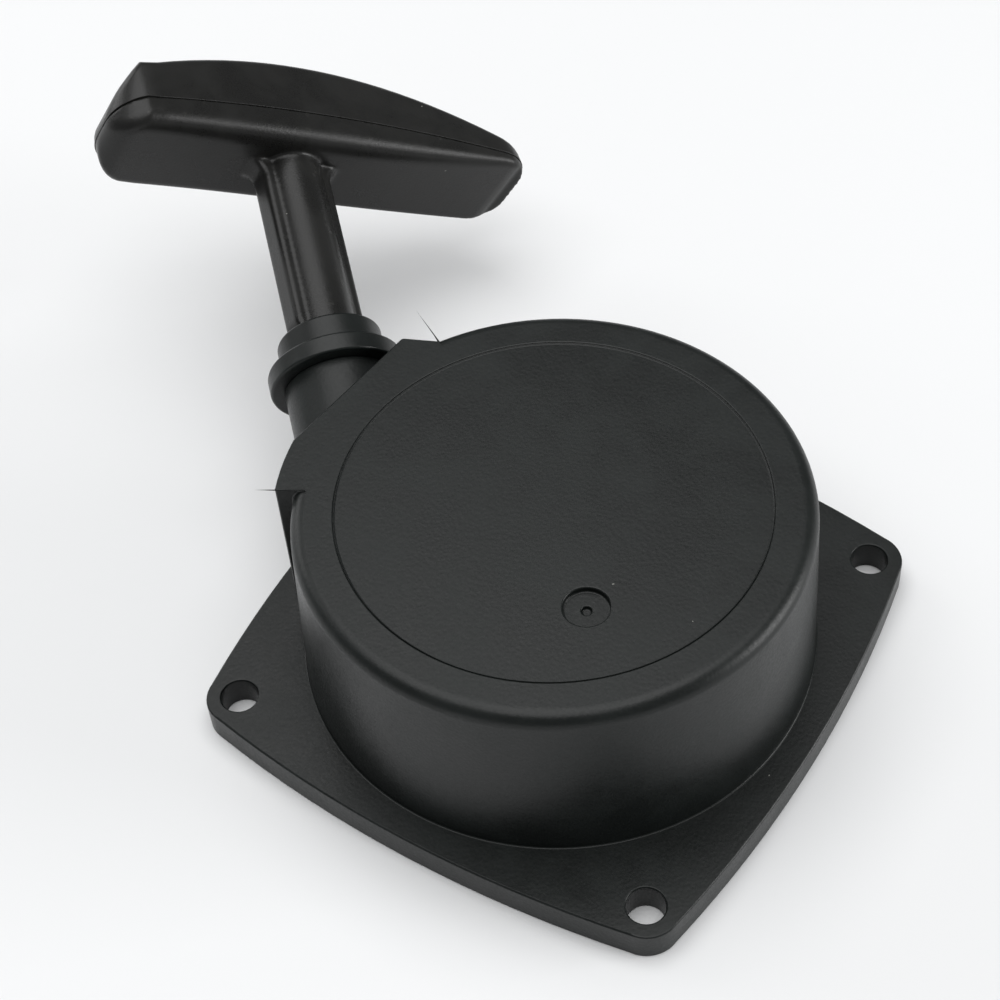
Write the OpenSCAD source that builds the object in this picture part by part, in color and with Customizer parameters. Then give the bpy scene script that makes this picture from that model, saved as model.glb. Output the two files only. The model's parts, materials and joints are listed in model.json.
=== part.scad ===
// Recoil starter for a small two-stroke engine.
// The origin is on the crank axis at the mounting face, and +Z points away from the engine.
// The rope leaves the cup at its -X side and runs out over the -X +Y corner of the flange.

/* [Flange] */
// Distance between neighbouring mounting holes
hole_spacing = 70; // [66:1:84]
// Diameter of each mounting hole
hole_d = 5.6; // [5:0.1:6.4]
// Thickness of the flange
flange_t = 5.3; // [4:0.1:6.5]
// How far the middle of each side stands outside the hole centres
side_margin = 8.2; // [8:0.1:9]
// Radius of the four bulged sides
side_r = 200; // [180:5:300]

/* [Cup] */
// Height of the cup above the mounting face
cup_h = 35.1; // [33:0.1:43]
// Thickness of the cup's top wall
top_wall = 2.5; // [2:0.1:3]
// Radius of the rounded top edge
edge_r = 2.3; // [1.4:0.1:2.6]
// Depth of the round label recess
recess_depth = 0.3; // [0.2:0.05:0.6]
// Radius of the gate mark
gate_r = 3.3; // [2.5:0.1:4]

/* [Rope outlet] */
// Direction in which the rope leaves, seen from above
outlet_angle = 135; // [133:0.5:137]
// Upward tilt of the outlet
outlet_tilt = 13.8; // [12:0.2:15]
// Outer radius of the outlet boss
boss_r = 8.6; // [8:0.1:9]
// Radius of the guide ring that faces the cup
guide_r = 10.75; // [10:0.05:11.5]
// Radius of the guide's outer step
guide_step_r = 8.3; // [7.8:0.1:9]

/* [Rope and reel] */
// Diameter of the rope
rope_d = 3.2; // [2.8:0.1:3.4]
// Turns of rope below the last lap on the reel
rope_turns = 4; // [3:1:4]
// Radius of the reel's bearing bore
reel_bore_r = 6.95; // [6.5:0.05:7.2]

/* [Grip] */
// Reach of the grip bar's low end from the stem
grip_low_end = 43.2; // [38:0.2:46]
// Reach of the grip bar's high end from the stem
grip_high_end = 32; // [29:0.2:36]
// Thickness of the grip bar across its flat sides
grip_t = 17; // [16:0.2:20]
// Depth of the grip bar at its crown
grip_depth = 16; // [15:0.2:18]
// Turn of the grip about the rope
grip_twist = 29; // [0:1:60]
// Radius of the stem's round core
stem_r = 5; // [4.8:0.05:5.4]
// Length of the stem from the guide to the bar
stem_reach = 33.4; // [28:0.2:40]

/* [Hidden] */
$fn = 96;
cut = 1;                                    // overshoot of cutting tools
rim_fn = 180;

// Colours
moulded_black = [0.17, 0.18, 0.18];
grip_black = [0.2, 0.2, 0.19];
rope_grey = [0.75, 0.73, 0.68];
spring_steel = [0.45, 0.47, 0.5];
plated_steel = [0.75, 0.75, 0.72];
reel_grey = [0.3, 0.3, 0.31];

// Flange and cup
hole_half = hole_spacing / 2;
side_reach = hole_half + side_margin;
corner_r = side_r - norm([hole_half, side_r - side_reach + hole_half]);
corner_lap = 0.03;                          // lets each corner circle cross the side arcs
cup_r = hole_spacing * 0.538;               // at the bottom of the rounded top edge
cup_base_r = cup_r + 1.15;                  // the wall has draft
cavity_r = cup_r - 2.15;
ceiling_z = cup_h - top_wall;
recess_r = cup_r - 6.35;
gate_distance = cup_r * 0.51;
gate_depth = 0.9;
gate_hole_r = 0.7;
shoulder_r = cup_r + 2.55;
shoulder_flat = cup_r + 0.55;
shoulder_angles = [151, 206.5];
shoulder_flat_angle = 174.5;

// Rope outlet: local +Z runs out along the rope
lap_r = cup_r - 12.75;                      // centreline of the rope's last lap
outlet_run = sqrt(shoulder_r * shoulder_r - lap_r * lap_r) + 8.2;
guide_face = outlet_run / cos(outlet_tilt);
guide_face_z = cup_h - 9.8;
outlet_z = guide_face_z - guide_face * sin(outlet_tilt);
boss_bore_r = 4.8;
boss_start = guide_face - 19;
guide_ring_t = 3.2;
guide_step_t = 5;
guide_spigot = 10;
guide_seat_r = 6.7;
guide_seat_depth = 3.5;
press_gap = 0.05;
rope_hole_r = rope_d / 2 + 0.7;

// Heights inside the cup, from the top down
spring_top = ceiling_z - 0.7;
spring_w = 7;
spring_bottom = spring_top - spring_w;
cover_top = spring_bottom - 0.4;
cover_t = 0.8;
cover_bottom = cover_top - cover_t;
rope_z = cup_h - 17.6;
groove_half = rope_d / 2 + 0.25;
reel_top = cover_bottom - 0.8;
reel_bottom = rope_z - groove_half - 3.6;
reel_r = lap_r + 3.6;
core_r = 10;
rope_pitch = rope_d + 0.1;
knot_hole_r = core_r + rope_pitch / 2 + 0.05;
knot_pocket_r = 3.2;
reel_rib_inner = 18;
hub_end = reel_bottom - 2.85;
post_end = hub_end - 0.2;
pawl_top = reel_bottom - 0.35;
pawl_bottom = pawl_top - 4.1;
clip_t = 0.5;
pin_end = pawl_bottom - 0.75;
plate_top = pin_end - 0.3;
plate_bottom = plate_top - 1.1;
washer_bottom = post_end - 1;
head_top = plate_bottom - 0.1;
head_bottom = head_top - 2.4;

// Bearing and spring chamber
bush_r = reel_bore_r - 0.05;                // running fit of the reel
post_r = bush_r - 0.95;
chamber_r = cavity_r - 5.2;
chamber_wall = 2;
stake_count = 3;
stake_r = 1.2;
spring_t = 0.6;
spring_turns = 11;
spring_step = 15;                           // degrees between the points of the spiral
spring_inner_r = core_r + 0.8;
spring_outer_r = chamber_r - 0.9;
hook_angle = 20;

// Pawls and guide plate
pin_r = 1.75;
pawl_pivot = 17;
pawl_rest_angle = -110;
pawl_swing = 40;
plate_swing = 20;
pawl_spring_leg = [5.4, 1.6];
peg_reach = 7.5;
peg_r = 1.2;
peg_play = 0.4;
shoulder_screw_r = 4;

// Rope at the outlet
lead_bend_run = 17;
lead_end = guide_face - guide_spigot;
lap_sweep = 150;

// Grip: local +X runs along the bar, local +Z away from the cup
bar_inner = guide_face + guide_ring_t + guide_step_t + stem_reach;
bar_outer = bar_inner + grip_depth;
crown_r = 83;
crown_reach = 0.4;
chamfer_reach = -27.6;
chamfer_slope = 1.28;
parting = bar_inner + 5.6;
parting_r = 278;
parting_reach = 2;
bar_corner_r = 7;
cap_lip = 0.25;
stem_start = guide_face + guide_ring_t + guide_step_t - guide_seat_depth + 0.2;
web_half = 6.1;
web_t = 5;
web_taper = 5;
root_r = 4;
knot_r = 3.9;
washer_t = 1;
pocket_r = 5.6;
pocket_floor = bar_inner + 3.5;
peg_spacing = 40;
cap_peg_r = 2;
cap_peg_len = 3;

// Plain shapes

module disc(r, z0, z1) {
    translate([0, 0, z0]) cylinder(r = r, h = z1 - z0);
}

module ring(r_out, r_in, z0, z1) {
    difference() {
        disc(r_out, z0, z1);
        disc(r_in, z0 - cut, z1 + cut);
    }
}

module torus(major_r, minor_r) {
    rotate_extrude() translate([major_r, 0]) circle(minor_r);
}

// Places children on the rope's way out of the cup
module outlet_frame() {
    translate([lap_r * cos(outlet_angle + 90), lap_r * sin(outlet_angle + 90), outlet_z])
        rotate([0, 0, outlet_angle])
            rotate([0, 90 - outlet_tilt, 0])
                children();
}

module grip_frame() {
    outlet_frame() rotate([0, 0, grip_twist - 90]) children();
}

// A round cord or wire swept along a path that never runs straight up
function unit(v) = v / norm(v);

module swept(path, r) {
    sides = 8;
    last = len(path) - 1;
    rings = [for (i = [0 : last]) let (
        along = unit(path[min(i + 1, last)] - path[max(i - 1, 0)]),
        side = unit(cross([0, 0, 1], along)),
        up = cross(along, side)
    ) [for (k = [0 : sides - 1]) let (b = 360 * k / sides) path[i] + r * (cos(b) * side + sin(b) * up)]];
    walls = [for (i = [0 : last - 1], k = [0 : sides - 1])
        let (n = (k + 1) % sides, a = i * sides, b = (i + 1) * sides)
            [a + k, b + k, b + n, a + n]];
    ends = [[for (k = [0 : sides - 1]) k], [for (k = [sides - 1 : -1 : 0]) last * sides + k]];
    polyhedron(points = [for (loop = rings) for (p = loop) p], faces = concat(walls, ends), convexity = 10);
}

function coil_path(r, pitch, turns, start = 0) = [for (a = [0 : 20 : 360 * turns])
    [r * cos(start + a), r * sin(start + a), pitch * a / 360]];

// Housing

module side_discs(r) {
    intersection_for (a = [0 : 90 : 270])
        rotate(a) translate([side_r - side_reach, 0]) circle(r, $fn = 360);
}

// Four bulged sides that run tangent into round corners
module flange_outline() {
    arc_to_corner = [hole_half + side_r - side_reach, hole_half];
    tangent = arc_to_corner * side_r / norm(arc_to_corner) - [side_r - side_reach, 0];
    outline = [[tangent.x, -tangent.y], [side_reach * 1.3, 0], tangent];
    intersection() {
        side_discs(side_r);
        polygon([for (a = [0 : 90 : 270], p = outline)
            [p.x * cos(a) - p.y * sin(a), p.x * sin(a) + p.y * cos(a)]]);
    }
    for (x = [-1, 1], y = [-1, 1])
        translate([x * hole_half, y * hole_half]) circle(corner_r + corner_lap);
}

module cup_profile() {
    polygon([[0, 0], [cup_base_r, 0], [cup_base_r, flange_t], [cup_r, cup_h - edge_r], [0, cup_h - edge_r]]);
    square([cup_r - edge_r, cup_h]);
    translate([cup_r - edge_r, cup_h - edge_r]) circle(edge_r);
}

module shoulder() {
    corners = [[0, 0], [cup_r - 1, shoulder_angles[0] - 1.5], [shoulder_r + 0.1, shoulder_angles[0] + 5],
        [2 * shoulder_r, shoulder_flat_angle], [2 * shoulder_r, shoulder_angles[1]]];
    linear_extrude(cup_h) intersection() {
        circle(shoulder_r, $fn = rim_fn);
        polygon([for (c = corners) c[0] * [cos(c[1]), sin(c[1])]]);
        rotate(shoulder_flat_angle) translate([0, -shoulder_r]) square([shoulder_flat, 2 * shoulder_r]);
    }
}

module gate_mark() {
    gate_floor = cup_h - recess_depth - gate_depth;
    rotate(-45) translate([gate_distance, 0]) {
        disc(gate_r, gate_floor, cup_h + cut);
        disc(gate_hole_r, gate_floor - 0.6, cup_h);
    }
}

module spring_chamber() {
    difference() {
        ring(chamber_r + chamber_wall, chamber_r, cover_top, ceiling_z + cut);
        rotate(hook_angle) translate([chamber_r - cut, -spring_t, cover_top - cut])
            cube([chamber_wall + 2 * cut, 2 * spring_t, spring_top - cover_top + cut]);
    }
    for (i = [0 : stake_count - 1]) rotate(60 + i * 360 / stake_count)
        translate([chamber_r + chamber_wall / 2, 0]) disc(stake_r, cover_bottom - 0.5, cover_top + cut);
    for (i = [0 : 7]) rotate(i * 45) translate([chamber_r + chamber_wall / 2, -0.8, cover_top])
        cube([cavity_r + cut - chamber_r - chamber_wall / 2, 1.6, ceiling_z + cut - cover_top]);
}

module center_post() {
    difference() {
        disc(post_r, post_end, ceiling_z + cut);
        disc(2.5, post_end - cut, cup_h - 12);
    }
    disc(post_r + 2, spring_top, ceiling_z + cut);
}

module housing() {
    color(moulded_black) {
        difference() {
            union() {
                linear_extrude(flange_t) flange_outline();
                rotate_extrude($fn = rim_fn) cup_profile();
                shoulder();
                outlet_frame() disc(boss_r, boss_start, guide_face);
            }
            disc(cavity_r, -cut, ceiling_z);
            disc(recess_r, cup_h - recess_depth, cup_h + cut);
            gate_mark();
            outlet_frame() disc(boss_bore_r, guide_face - 16, guide_face + cut);
            for (x = [-1, 1], y = [-1, 1]) translate([x * hole_half, y * hole_half])
                disc(hole_d / 2, -cut, flange_t + cut);
        }
        spring_chamber();
        center_post();
    }
}

module rope_guide() {
    top = guide_face + guide_ring_t + guide_step_t;
    color(moulded_black) outlet_frame() difference() {
        union() {
            disc(boss_bore_r - press_gap, guide_face - guide_spigot, guide_face + cut);
            disc(guide_r, guide_face, guide_face + guide_ring_t);
            disc(guide_step_r, guide_face, top);
        }
        disc(rope_hole_r, guide_face - guide_spigot - cut, top + cut);
        disc(guide_seat_r, top - guide_seat_depth, top + cut);
    }
}

// Recoil spring, its cover and the bearing

function spiral_r(a) = spring_inner_r + (spring_outer_r - spring_inner_r) * pow(a / (spring_turns * 360), 0.85);

function spiral_edge(side) = [for (a = [0 : spring_step : spring_turns * 360])
    (spiral_r(a) + side * spring_t / 2) * [cos(a + hook_angle), sin(a + hook_angle)]];

function reversed(list) = [for (i = [len(list) - 1 : -1 : 0]) list[i]];

module recoil_spring() {
    color(spring_steel) translate([0, 0, spring_bottom]) linear_extrude(spring_w) {
        polygon(concat(spiral_edge(1), reversed(spiral_edge(-1))));
        rotate(hook_angle) translate([spring_outer_r - spring_t / 2, -spring_t / 2])
            square([chamber_r + chamber_wall - spring_outer_r, spring_t]);
    }
}

module spring_cover() {
    color(plated_steel) difference() {
        ring(chamber_r + chamber_wall, core_r + 0.6, cover_bottom, cover_top);
        for (i = [0 : stake_count - 1]) rotate(60 + i * 360 / stake_count)
            translate([chamber_r + chamber_wall / 2, 0])
                disc(stake_r + press_gap, cover_bottom - cut, cover_top + cut);
    }
}

module reel_bush() {
    color(plated_steel) ring(bush_r, post_r + press_gap, hub_end, spring_top - 0.4);
}

// Reel and rope

module reel() {
    groove_top = rope_z + groove_half;
    color(reel_grey) difference() {
        union() {
            disc(core_r, hub_end, spring_top - 0.5);
            disc(reel_r, reel_bottom, rope_z - groove_half);
            disc(reel_r, groove_top, reel_top);
        }
        disc(reel_bore_r, hub_end - cut, spring_top + cut);
        ring(reel_r - 2, reel_rib_inner, groove_top + 1.6, reel_top + cut);
        rotate(180) translate([knot_hole_r, 0]) {
            disc(rope_d / 2 + 0.1, rope_z, reel_top);
            disc(knot_pocket_r, groove_top + 0.6, reel_top + cut);
        }
        rotate(200) translate([core_r - 1.8, -0.8, spring_bottom]) cube([3, 1.6, spring_w + cut]);
        for (side = [0, 180]) rotate(side) translate([pawl_pivot, 0]) {
            disc(pin_r, reel_bottom - cut, rope_z - groove_half + cut);
            ring(6.2, 2.9, reel_bottom - cut, reel_bottom + 2);
        }
    }
}

module rope_winding() {
    color(rope_grey) for (i = [0 : rope_turns - 1])
        translate([0, 0, rope_z]) torus(lap_r - rope_pitch * (i + 1), rope_d / 2);
}

// The last lap and the run to the guide, along the way the rope always takes
module rope_lead() {
    lead_run = lead_end * cos(outlet_tilt);
    lead_end_z = outlet_z + lead_end * sin(outlet_tilt);
    lap = [for (a = [-lap_sweep : 10 : 0]) [lap_r * sin(a), lap_r * cos(a), rope_z]];
    run_out = [
        [lead_bend_run - 3, lap_r, rope_z],
        [lead_bend_run, lap_r, rope_z + 0.4],
        [lead_run - 2, lap_r, lead_end_z - 0.8],
        [lead_run, lap_r, lead_end_z - 0.2]
    ];
    color(rope_grey) rotate(outlet_angle) swept(concat(lap, run_out), rope_d / 2);
}

module reel_knot() {
    groove_top = rope_z + groove_half;
    color(rope_grey) rotate(180) translate([knot_hole_r, 0]) {
        translate([0, 0, groove_top + 0.6 + 1.4]) torus(1.45, 1.35);
        disc(rope_d / 2 - 0.1, rope_z + rope_d / 2, groove_top + 1.8);
    }
}

// Grip

module handle_rope() {
    color(rope_grey) outlet_frame() disc(rope_d / 2, lead_end, pocket_floor + washer_t);
}

module handle_knot() {
    color(rope_grey) outlet_frame() translate([0, 0, pocket_floor + washer_t + 1.9]) {
        torus(2, 1.9);
        disc(rope_d / 2 - 0.2, -1.9, 2.8);
    }
}

module knot_washer() {
    color(plated_steel) outlet_frame()
        ring(pocket_r - 0.3, rope_d / 2 + 0.2, pocket_floor, pocket_floor + washer_t);
}

// The bar seen along the rope: straight sides, leaning ends and round corners
module bar_plan(extra) {
    r = bar_corner_r + extra;
    half = grip_t / 2 + extra;
    low = grip_low_end + extra;
    high = grip_high_end + extra;
    translate([r - high, -half]) square([low + high - 2 * r, 2 * half]);
    translate([-high, r - half]) square([low + high, 2 * (half - r)]);
    for (x = [r - high, low - r], y = [r - half, half - r]) translate([x, y]) circle(r + corner_lap);
}

// Profiles of the bar are drawn from the side, with their reach along the bar
module across_bar(width) {
    rotate([90, 0, 0]) linear_extrude(width, center = true) children();
}

module arc_side(reach, crown, r) {
    translate([reach, crown - r]) circle(r, $fn = 360);
}

module bar_side() {
    chamfer_top = bar_outer - pow(chamfer_reach - crown_reach, 2) / (2 * crown_r);
    chamfer_end = chamfer_reach - grip_depth / chamfer_slope;
    intersection() {
        arc_side(crown_reach, bar_outer, crown_r);
        polygon([
            [2 * grip_low_end, bar_inner], [2 * grip_low_end, 2 * bar_outer],
            [chamfer_reach + bar_outer / chamfer_slope, chamfer_top + bar_outer],
            [chamfer_end, chamfer_top - grip_depth], [chamfer_end, bar_inner]
        ]);
    }
}

module parting_side() {
    arc_side(parting_reach, parting, parting_r);
}

// The side of the parting line that the cap is on
module cap_side() {
    difference() {
        translate([-2 * grip_low_end, bar_inner - 2]) square([4 * grip_low_end, 2 * grip_depth]);
        parting_side();
    }
}

module bar(extra) {
    intersection() {
        translate([0, 0, bar_inner - 1]) linear_extrude(grip_depth + 2) bar_plan(extra);
        across_bar(3 * grip_t) bar_side();
    }
}

module stem_webs() {
    rotate([90, 0, 0]) linear_extrude(web_t, center = true) {
        polygon([
            [-stem_r, stem_start + 1], [-web_half, stem_start + 1 + web_taper], [-web_half, bar_inner + 1],
            [web_half, bar_inner + 1], [web_half, stem_start + 1 + web_taper], [stem_r, stem_start + 1]
        ]);
        difference() {
            translate([-web_half - root_r, bar_inner - root_r]) square([2 * (web_half + root_r), root_r + 1]);
            for (side = [-1, 1])
                translate([side * (web_half + root_r), bar_inner - root_r]) circle(root_r);
        }
    }
}

module cap_pegs(r, length) {
    for (side = [-1, 1]) translate([side * peg_spacing / 2, 0]) disc(r, parting - 1.5 - length, parting);
}

module handle_body() {
    color(grip_black) grip_frame() difference() {
        union() {
            difference() {
                bar(0);
                across_bar(3 * grip_t) cap_side();
            }
            disc(stem_r, stem_start, bar_inner + 1);
            stem_webs();
        }
        disc(rope_hole_r, stem_start - cut, bar_outer);
        disc(pocket_r, pocket_floor, bar_outer);
        cap_pegs(cap_peg_r + press_gap, cap_peg_len + 0.3);
    }
}

module handle_cap() {
    color(grip_black) grip_frame() {
        difference() {
            bar(cap_lip);
            across_bar(3 * grip_t) parting_side();
            disc(pocket_r, parting - cut, pocket_floor + washer_t + 2 * knot_r - 1.6);
        }
        difference() {
            cap_pegs(cap_peg_r, cap_peg_len);
            disc(pocket_r, pocket_floor, bar_outer);
        }
    }
}

// Pawls, on the engine side of the reel

module pawl_frame(side) {
    rotate(side) translate([pawl_pivot, 0]) rotate(pawl_rest_angle) children();
}

module pawl(side) {
    color(plated_steel) pawl_frame(side) {
        difference() {
            translate([0, 0, pawl_bottom]) linear_extrude(pawl_top - pawl_bottom) {
                circle(4);
                polygon([[0, 3.4], [11.5, 2.6], [13.6, 1], [13.2, -1.2], [10, -2.4], [0, -3.4]]);
            }
            disc(pin_r + press_gap, pawl_bottom - cut, pawl_top + cut);
            translate(pawl_spring_leg) disc(0.4, pawl_top - 1.5, pawl_top + cut);
        }
        translate([peg_reach, 0]) disc(peg_r, plate_bottom - 0.2, pawl_bottom + cut);
    }
}

module pawl_a() {
    pawl(0);
}

module pawl_b() {
    pawl(180);
}

module pawl_pins() {
    color(plated_steel) for (side = [0, 180]) pawl_frame(side) difference() {
        disc(pin_r, pin_end, rope_z - groove_half);
        ring(pin_r + cut, pin_r - 0.4, pawl_bottom - 0.15 - clip_t, pawl_bottom - 0.15);
    }
}

module pawl_clips() {
    color(spring_steel) for (side = [0, 180]) pawl_frame(side) difference() {
        ring(3.1, pin_r - 0.4, pawl_bottom - 0.15 - clip_t, pawl_bottom - 0.15);
        translate([0, -1.1, 0]) cube([4, 2.2, pawl_top]);
    }
}

// A coil round the pin, with a leg that drops into the pawl
module pawl_spring(side) {
    wire_r = 0.25;
    coil_r = 3.6;
    leg = pawl_spring_leg;
    start = atan2(leg.y, leg.x);
    turns = coil_path(coil_r, 0.55, 2.25, start);
    color(spring_steel) pawl_frame(side) translate([0, 0, reel_bottom + 0.35]) {
        swept(concat([[leg.x, leg.y, 0]], turns), wire_r);
        translate([leg.x, leg.y, pawl_top - 1.2 - reel_bottom - 0.35])
            cylinder(r = wire_r, h = reel_bottom + 0.35 + 1.2 - pawl_top);
    }
}

module pawl_spring_a() {
    pawl_spring(0);
}

module pawl_spring_b() {
    pawl_spring(180);
}

// Where a pawl's peg stands in the guide plate when the pawl has swung by a given angle
function peg_place(swing) =
    let (peg = [pawl_pivot, 0] + peg_reach * [cos(pawl_rest_angle + swing), sin(pawl_rest_angle + swing)],
        turn = -swing * plate_swing / pawl_swing)
    [peg.x * cos(turn) - peg.y * sin(turn), peg.x * sin(turn) + peg.y * cos(turn)];

module peg_slot() {
    steps = 4;
    for (i = [0 : steps]) translate(peg_place(pawl_swing * i / steps)) circle(peg_r + peg_play);
    for (i = [0 : steps - 1]) {
        from = peg_place(pawl_swing * i / steps);
        run = peg_place(pawl_swing * (i + 1) / steps) - from;
        translate(from) rotate(atan2(run.y, run.x)) translate([0, -peg_r - peg_play])
            square([norm(run), 2 * (peg_r + peg_play)]);
    }
}

module guide_plate() {
    ear = [[9, -1.5], [17, -2.5], [19.6, -9], [18.6, -14.5], [16, -17.2], [12.5, -16], [4.5, -8.4]];
    color(plated_steel) difference() {
        union() {
            disc(10, plate_bottom, plate_top);
            for (side = [0, 180]) rotate(side) translate([0, 0, plate_bottom])
                linear_extrude(plate_top - plate_bottom) polygon(ear);
        }
        disc(shoulder_screw_r + press_gap, plate_bottom - cut, plate_top + cut);
        for (side = [0, 180]) rotate(side) translate([0, 0, plate_bottom - cut])
            linear_extrude(plate_top - plate_bottom + 2 * cut) peg_slot();
    }
}

// Centre fastening

module friction_spring() {
    gap = washer_bottom - plate_top;
    wire_r = 0.25;
    color(spring_steel) translate([0, 0, plate_top + wire_r + 0.05])
        swept(coil_path(5.2, (gap - 2 * wire_r - 0.1) / 1.5, 1.5), wire_r);
}

module center_washer() {
    color(plated_steel) ring(8.6, 2.6, washer_bottom, post_end);
}

module center_screw() {
    color(plated_steel) difference() {
        union() {
            disc(7, head_bottom, head_top);
            disc(shoulder_screw_r, head_bottom, washer_bottom);
            disc(2.45, head_bottom, cup_h - 14);
        }
        for (a = [0, 90]) rotate(a) translate([-2.6, -0.5, head_bottom - cut]) cube([5.2, 1, 1.4 + cut]);
    }
}

housing();
rope_guide();
recoil_spring();
spring_cover();
reel();
reel_bush();
rope_winding();
rope_lead();
reel_knot();
handle_rope();
handle_knot();
knot_washer();
handle_body();
handle_cap();
pawl_a();
pawl_b();
pawl_pins();
pawl_clips();
pawl_spring_a();
pawl_spring_b();
guide_plate();
friction_spring();
center_washer();
center_screw();
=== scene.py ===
import json
import math

import bmesh
import bpy
from mathutils import Matrix, Vector


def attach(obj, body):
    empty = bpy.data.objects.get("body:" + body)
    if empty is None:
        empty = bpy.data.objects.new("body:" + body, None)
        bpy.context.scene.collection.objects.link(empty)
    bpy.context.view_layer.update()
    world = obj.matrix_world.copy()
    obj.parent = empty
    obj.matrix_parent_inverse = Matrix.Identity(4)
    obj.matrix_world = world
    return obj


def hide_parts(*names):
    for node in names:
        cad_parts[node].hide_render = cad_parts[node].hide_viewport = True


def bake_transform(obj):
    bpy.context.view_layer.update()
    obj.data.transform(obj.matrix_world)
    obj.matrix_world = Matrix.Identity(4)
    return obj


bl_info = {
    "name": "Recoil Starter",
    "version": (1, 0, 0),
    "blender": (4, 5, 0),
    "location": "3D View > Sidebar > Recoil Starter",
    "description": "Finishes a small engine's recoil starter: moulded cup, T grip, braided rope and catch.",
    "category": "Object",
}

MM = 0.001

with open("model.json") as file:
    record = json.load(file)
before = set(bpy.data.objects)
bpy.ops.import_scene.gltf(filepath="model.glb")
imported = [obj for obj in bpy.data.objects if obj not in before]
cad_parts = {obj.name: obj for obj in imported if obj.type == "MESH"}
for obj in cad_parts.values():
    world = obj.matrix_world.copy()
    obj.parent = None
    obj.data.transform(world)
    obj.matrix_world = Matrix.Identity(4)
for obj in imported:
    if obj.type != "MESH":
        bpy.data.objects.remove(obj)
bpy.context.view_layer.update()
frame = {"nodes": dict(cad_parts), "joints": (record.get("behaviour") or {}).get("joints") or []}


def joint(name):
    """The record's joint of that name."""
    return next(j for j in frame["joints"] if j["name"] == name)


# The rope's line out of the cup, and the grip's own directions on it.
PULL = Vector(joint("rope_pull")["axis"]).normalized()
SWIVEL = Vector(joint("grip_swivel")["pos_m"])
SWIVEL_REACH = 86 * MM
ROPE_START = SWIVEL - PULL * SWIVEL_REACH
LEVEL = PULL.cross(Vector((0, 0, 1))).normalized()
RISE = LEVEL.cross(PULL)


# Sizes and colours that a user would change

class StarterStageSettings(bpy.types.PropertyGroup):
    """Camera and paper floor of the stage."""

    azimuth: bpy.props.FloatProperty(
        name="Azimuth", description="Camera's turn round the cup", default=math.radians(35.727),
        subtype="ANGLE")
    elevation: bpy.props.FloatProperty(
        name="Elevation", description="Camera's height above the horizon", default=math.radians(49.916),
        subtype="ANGLE")
    roll: bpy.props.FloatProperty(
        name="Roll", description="Camera's turn about its own line of sight", default=math.radians(-4.744),
        subtype="ANGLE")
    distance: bpy.props.FloatProperty(
        name="Distance", description="Camera's distance from its target", default=300.861 * MM,
        unit="LENGTH")
    target: bpy.props.FloatVectorProperty(
        name="Target", description="Point that the camera looks at",
        default=(-6.622 * MM, -3.558 * MM, 35.087 * MM), subtype="XYZ", precision=5)
    lens: bpy.props.FloatProperty(
        name="Lens", description="Focal length on a 36 mm sensor", default=76.2, unit="CAMERA")
    paper: bpy.props.FloatVectorProperty(
        name="Paper", description="Colour of the pale floor", default=(0.80, 0.805, 0.81), subtype="COLOR")


class StarterFinishSettings(bpy.types.PropertyGroup):
    """Colours of the starter's finishes."""

    moulding: bpy.props.FloatVectorProperty(
        name="Moulding", description="Colour of the cup and the guide", default=(0.0062, 0.0078, 0.0073),
        subtype="COLOR")
    grip: bpy.props.FloatVectorProperty(
        name="Grip", description="Colour of the grip", default=(0.0100, 0.0100, 0.0094), subtype="COLOR")
    nylon: bpy.props.FloatVectorProperty(
        name="Nylon", description="Colour of the reel", default=(0.05, 0.05, 0.052), subtype="COLOR")
    zinc: bpy.props.FloatVectorProperty(
        name="Zinc", description="Colour of the plated steel", default=(0.62, 0.61, 0.56), subtype="COLOR")
    spring: bpy.props.FloatVectorProperty(
        name="Spring", description="Colour of the oiled spring steel", default=(0.30, 0.31, 0.33),
        subtype="COLOR")
    rope: bpy.props.FloatVectorProperty(
        name="Rope", description="Colour of the braided rope", default=(0.62, 0.60, 0.54), subtype="COLOR")


class StarterGripSettings(bpy.types.PropertyGroup):
    """Shape of the T grip. Heights are measured along the pull line from the rope's start."""

    twist: bpy.props.FloatProperty(
        name="Twist", description="Turn of the bar about the pull line", default=math.radians(-29),
        subtype="ANGLE")
    low_end: bpy.props.FloatProperty(
        name="Low end", description="Reach of the bar's low end", default=43.4 * MM, unit="LENGTH")
    high_end: bpy.props.FloatProperty(
        name="High end", description="Reach of the bar's high end", default=32.1 * MM, unit="LENGTH")
    half_width: bpy.props.FloatProperty(
        name="Half width", description="Half the bar's width", default=8.5 * MM, unit="LENGTH")
    inner: bpy.props.FloatProperty(
        name="Inner", description="Height of the bar's underside", default=82.6 * MM, unit="LENGTH")
    parting: bpy.props.FloatProperty(
        name="Parting", description="Height of the parting line at the stem", default=88.3 * MM,
        unit="LENGTH")
    outer: bpy.props.FloatProperty(
        name="Outer", description="Height of the bar's crown", default=98.45 * MM, unit="LENGTH")
    stem_start: bpy.props.FloatProperty(
        name="Stem start", description="Height of the stem's free end", default=45.85 * MM, unit="LENGTH")
    stem_radius: bpy.props.FloatProperty(
        name="Stem radius", description="Radius of the stem's core", default=5.0 * MM, unit="LENGTH")
    web_reach: bpy.props.FloatProperty(
        name="Web reach", description="Reach of the stem's two webs", default=6.1 * MM, unit="LENGTH")


# Node helpers

def node(tree, kind, **values):
    """A node of that kind, with its plain properties and its unlinked inputs set."""
    made = tree.nodes.new(kind)
    for key, value in values.items():
        if hasattr(made, key):
            setattr(made, key, value)
        else:
            made.inputs[key.replace("_", " ")].default_value = value
    return made


def link(tree, source, target):
    """Joins an output socket to an input socket."""
    tree.links.new(source, target)


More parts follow.
